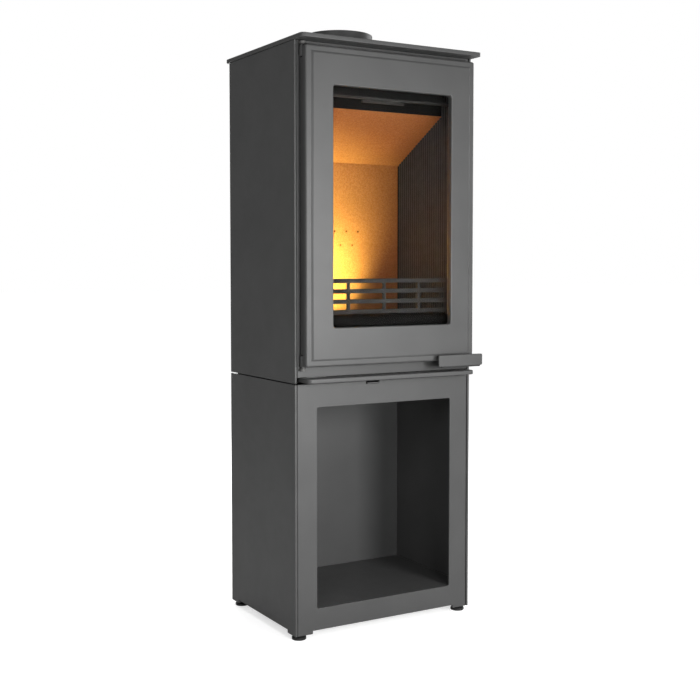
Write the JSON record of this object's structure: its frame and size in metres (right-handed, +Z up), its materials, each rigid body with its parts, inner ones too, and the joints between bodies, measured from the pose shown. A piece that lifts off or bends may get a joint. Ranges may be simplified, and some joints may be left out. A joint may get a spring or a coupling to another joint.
{
  "type": "wood burning stove",
  "caption": "Tall free-standing wood burning stove: steel casing on an open log store, hinged door with a tall window and a lift handle, flue collar on top.",
  "frame": {"origin": "middle of the bounding box, on the floor under the feet", "axes": "+Z up, -Y out of the door, +X to the right of someone facing the door"},
  "size_m": [0.437, 0.379, 1.271],
  "materials": {
    "paint": "satin anthracite heat-resistant paint",
    "cast_iron": "matt dark grey stove paint",
    "plain_steel": "plain and zinc-plated steel",
    "insulating_board": "matt golden vermiculite board",
    "black_coating": "matt black",
    "glass": "clear heat-resistant glass ceramic",
    "rope": "dark braided glass-fibre rope and tape"
  },
  "bodies": {
    "stove": {"base_side_left": "paint", "base_side_right": "paint", "base_front": "paint", "base_back": "paint", "store_floor": "paint", "store_ceiling": "paint", "base_deck": "paint", "body_side_left": "paint", "body_side_right": "paint", "body_front": "paint", "ash_lip": "paint", "body_floor": "paint", "rear_cover": "paint", "top_plate": "paint", "flue_collar": "paint", "firebox_left_wall": "cast_iron", "firebox_right_wall": "cast_iron", "firebox_floor": "cast_iron", "firebox_back_wall": "cast_iron", "firebox_roof": "cast_iron", "lining_left": "cast_iron", "lining_right": "cast_iron", "baffle_front_strip": "cast_iron", "air_wash_deflector": "cast_iron", "hearth_plate": "cast_iron", "grate": "cast_iron", "log_fence": "cast_iron", "hearth_apron": "cast_iron", "foot_rail_front": "plain_steel", "foot_rail_rear": "plain_steel", "back_air_duct": "plain_steel", "upper_baffle": "plain_steel", "air_wash_clip": "plain_steel", "hearth_rail_left": "plain_steel", "hearth_rail_right": "plain_steel", "ash_pan": "plain_steel", "air_slide_guide_left": "plain_steel", "air_slide_guide_right": "plain_steel", "air_inlet_spigot": "plain_steel", "hinge_bracket_upper": "plain_steel", "hinge_bracket_lower": "plain_steel", "catch_foot": "plain_steel", "catch_spring": "plain_steel", "back_board": "insulating_board", "baffle_board": "insulating_board"},
    "door": {"door_frame": "paint", "door_glass": "glass", "glass_gasket": "rope", "rope_seal": "rope", "glass_retainer_left": "plain_steel", "glass_retainer_right": "plain_steel"},
    "handle": {"handle_plate": "paint", "handle_core": "black_coating", "handle_spindle": "plain_steel", "latch_tongue": "plain_steel"},
    "air_control": {"air_slide": "plain_steel"},
    "front_left_foot": {"foot_front_left": "cast_iron"},
    "front_right_foot": {"foot_front_right": "cast_iron"},
    "rear_left_foot": {"foot_rear_left": "cast_iron"},
    "rear_right_foot": {"foot_rear_right": "cast_iron"}
  },
  "joints": [
    {"name": "door_swing", "type": "hinge", "parent": "stove", "child": "door", "pos_m": [-0.201, -0.1515, 0.88], "axis": [0, 0, -1], "range_deg": [0, 95], "deforming": ["catch_spring"]},
    {"name": "handle_lift", "type": "hinge", "parent": "door", "child": "handle", "pos_m": [0.116, -0.1695, 0.569], "axis": [0, -1, 0], "range_deg": [0, 35]},
    {"name": "air_control_slide", "type": "slide", "parent": "stove", "child": "air_control", "axis": [0, -1, 0], "range_m": [0, 0.014]},
    {"name": "front_left_foot_screw", "type": "slide", "parent": "stove", "child": "front_left_foot", "axis": [0, 0, 1], "range_m": [-0.012, 0]},
    {"name": "front_right_foot_screw", "type": "slide", "parent": "stove", "child": "front_right_foot", "axis": [0, 0, 1], "range_m": [-0.012, 0]},
    {"name": "rear_left_foot_screw", "type": "slide", "parent": "stove", "child": "rear_left_foot", "axis": [0, 0, 1], "range_m": [-0.012, 0]},
    {"name": "rear_right_foot_screw", "type": "slide", "parent": "stove", "child": "rear_right_foot", "axis": [0, 0, 1], "range_m": [-0.012, 0]}
  ]
}
